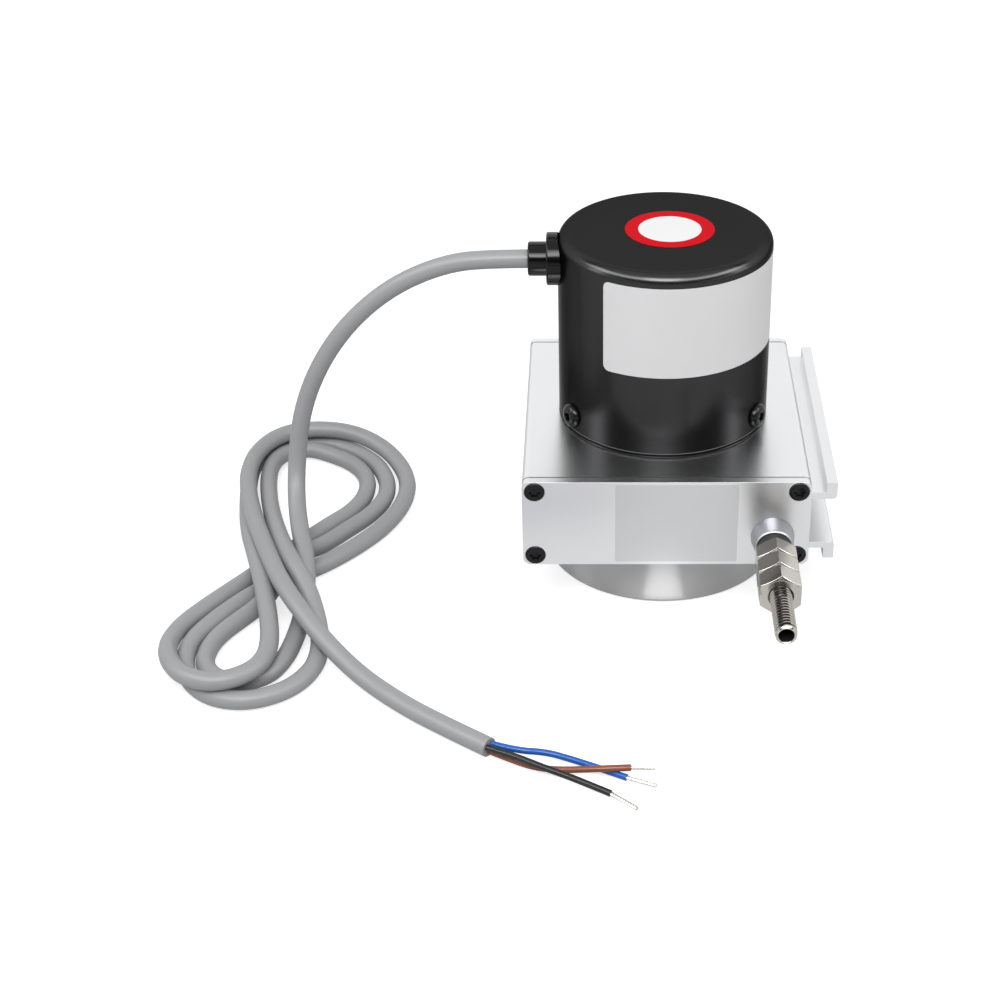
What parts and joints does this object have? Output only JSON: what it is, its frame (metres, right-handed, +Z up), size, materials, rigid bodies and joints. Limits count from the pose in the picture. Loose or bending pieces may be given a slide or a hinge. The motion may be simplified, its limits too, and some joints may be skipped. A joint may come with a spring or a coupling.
{
  "type": "draw wire encoder",
  "caption": "Draw wire encoder: flat drum housing with side clamping rails, round spring housing below, encoder can above, threaded wire end and a hanked signal cable with bare conductors.",
  "frame": {"origin": "on the drum axis, at the flat bottom of the round spring housing", "axes": "+Z up along the drum axis to the encoder can, -Y the way the measuring wire is pulled, +X the side with the clamping rails"},
  "size_m": [0.1912, 0.1882, 0.1019],
  "materials": {
    "anodised_silver": "natural anodised extrusion, satin",
    "plate_silver": "natural anodised plate, satin",
    "turned_aluminium": "fine turned, bright",
    "can_black": "black, satin",
    "screw_black": "blackened steel, satin",
    "screw_zinc": "zinc plated",
    "machined_aluminium": "turned, satin",
    "nickel_steel": "nickel plated, turned",
    "bearing_steel": "ground",
    "wire_steel": "stainless rope",
    "seal_rubber": "matt",
    "bush_plastic": "natural acetal",
    "gland_plastic": "moulded, glossy",
    "sensor_plastic": "moulded",
    "terminal_green": "moulded",
    "board_green": "solder mask",
    "disc_glass": "clear with an opaque track",
    "cable_grey": "extruded PVC, satin",
    "insulation_blue": "extruded PVC",
    "insulation_brown": "extruded PVC",
    "insulation_black": "extruded PVC",
    "tinned_copper": "twisted tinned strands"
  },
  "bodies": {
    "housing": {"housing_extrusion": "anodised_silver", "front_plate": "plate_silver", "rear_plate": "plate_silver", "front_plate_screws": "screw_black", "rear_plate_screws": "screw_black", "spring_housing": "turned_aluminium", "base_screws": "screw_zinc", "spring_cover": "machined_aluminium", "power_spring": "bearing_steel", "lower_bearing_outer": "bearing_steel", "upper_bearing_outer": "bearing_steel", "encoder_flange": "can_black", "flange_screws": "screw_zinc", "flange_seal": "seal_rubber", "sensor_head": "sensor_plastic", "board_posts": "screw_zinc", "circuit_board": "board_green", "board_screws": "screw_zinc", "cable_terminal": "terminal_green", "encoder_cover": "can_black", "cover_screws": "screw_black", "cable_gland": "gland_plastic", "gland_nut": "gland_plastic", "wire_nozzle": "machined_aluminium", "nozzle_lock_nut": "screw_zinc", "nozzle_bush": "bush_plastic", "wire_wiper": "seal_rubber", "end_buffer": "seal_rubber", "cable_lead": "cable_grey", "cable_hank": "cable_grey", "cable_tail": "cable_grey", "conductor_blue": "insulation_blue", "conductor_brown": "insulation_brown", "conductor_black": "insulation_black", "conductor_tips": "tinned_copper"},
    "drum": {"main_shaft": "bearing_steel", "spring_arbor": "machined_aluminium", "lower_bearing_inner": "bearing_steel", "upper_bearing_inner": "bearing_steel", "wire_drum": "machined_aluminium", "wound_wire": "wire_steel", "hub_spacer": "machined_aluminium", "shaft_circlip": "screw_zinc", "disc_hub": "machined_aluminium", "code_disc": "disc_glass"},
    "wire_end": {"wire_end_stud": "nickel_steel", "clamp_nut_inner": "nickel_steel", "clamp_nut_outer": "nickel_steel", "wire_ferrule": "wire_steel", "measuring_wire": "wire_steel"}
  },
  "joints": [
    {"name": "drum_spin", "type": "hinge", "parent": "housing", "child": "drum", "pos_m": [0, 0, 0], "axis": [0, 0, -1], "range_deg": [0, 2893], "stiffness_Nm_per_rad": 0.002, "springref_deg": -3437.75, "deforming": ["power_spring"]},
    {"name": "wire_pull", "type": "slide", "parent": "housing", "child": "wire_end", "axis": [0, -1, 0], "range_m": [0, 1.5], "deforming": ["measuring_wire"]}
  ],
  "couplings": [
    {"joint": "wire_pull", "follows": "drum_spin", "m_per_rad": 0.0297}
  ]
}
